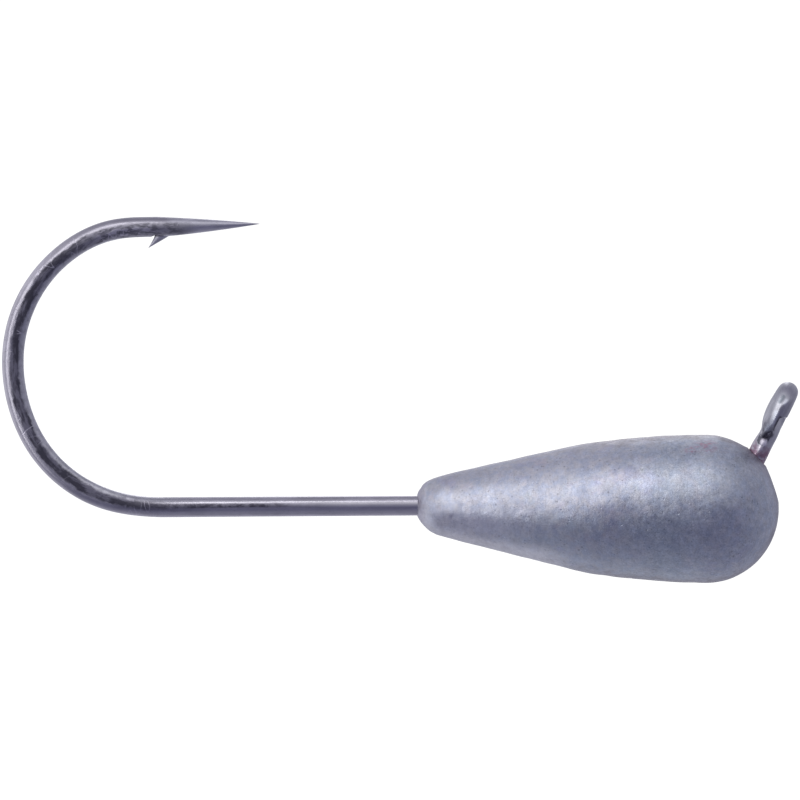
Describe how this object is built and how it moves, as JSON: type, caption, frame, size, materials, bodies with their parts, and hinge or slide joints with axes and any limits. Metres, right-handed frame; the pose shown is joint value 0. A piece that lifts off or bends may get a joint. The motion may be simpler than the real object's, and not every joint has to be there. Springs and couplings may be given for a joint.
{
  "type": "jig head",
  "caption": "Teardrop lead jig head cast around a long-shank barbed wire hook, with a round line eye standing up at the nose.",
  "frame": {"origin": "centre of the ring of the line eye", "axes": "+X along the shank towards the nose of the head, +Z to the side that the hook point and the eye are on, +Y across; the hook lies in the XZ plane"},
  "size_m": [0.0454, 0.0084, 0.021],
  "materials": {
    "lead": "raw cast lead, satin blue-grey with mottled oxide and fine handling marks",
    "hook_wire": "polished dark nickel over carbon-steel wire, with fine scuffs"
  },
  "bodies": {
    "root": {"lead_head": "lead", "hook": "hook_wire"}
  },
  "joints": []
}
